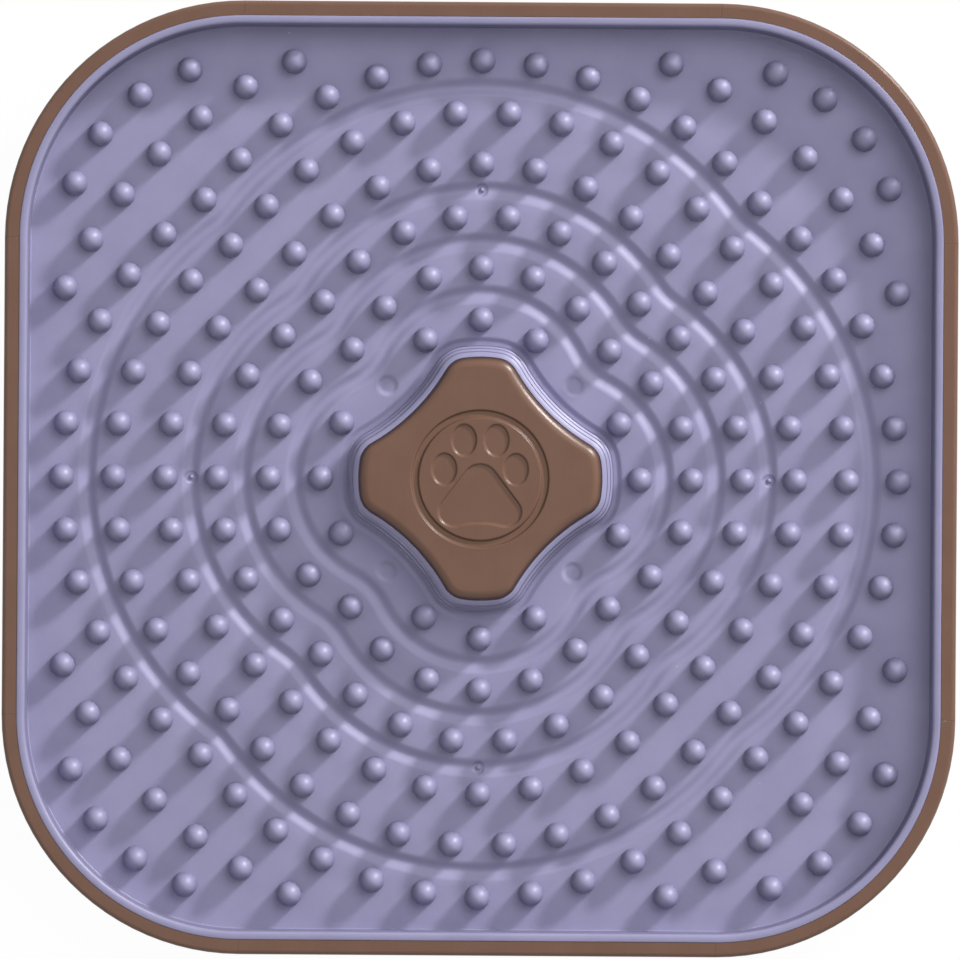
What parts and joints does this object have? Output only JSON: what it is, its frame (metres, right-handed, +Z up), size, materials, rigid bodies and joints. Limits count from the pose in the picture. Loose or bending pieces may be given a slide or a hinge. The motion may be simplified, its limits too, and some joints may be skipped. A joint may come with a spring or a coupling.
{
  "type": "lick mat",
  "caption": "Square slow-feeding lick mat: a soft studded pad lies in a rigid tray on suction cups, round a raised hub with a paw print.",
  "frame": {"origin": "middle of the mat, on the surface that the suction cups stand on", "axes": "+Z up, out of the mat's studded face; +Y towards the toes of the paw print; +X to the right with +Y away from the viewer"},
  "size_m": [0.2, 0.2, 0.0238],
  "materials": {
    "tray_plastic": "satin moulded",
    "pad_rubber": "soft matte",
    "cup_rubber": "smooth",
    "screw_steel": "zinc plated"
  },
  "bodies": {
    "tray": {"base_tray": "tray_plastic", "centre_hub": "tray_plastic", "hub_screws": "screw_steel", "suction_cup_front_left": "cup_rubber", "suction_cup_front_right": "cup_rubber", "suction_cup_rear_left": "cup_rubber", "suction_cup_rear_right": "cup_rubber"},
    "pad": {"lick_pad": "pad_rubber"}
  },
  "joints": [
    {"name": "pad_lift", "type": "slide", "parent": "tray", "child": "pad", "axis": [0, 0, 1], "range_m": [0, 0.03]}
  ]
}
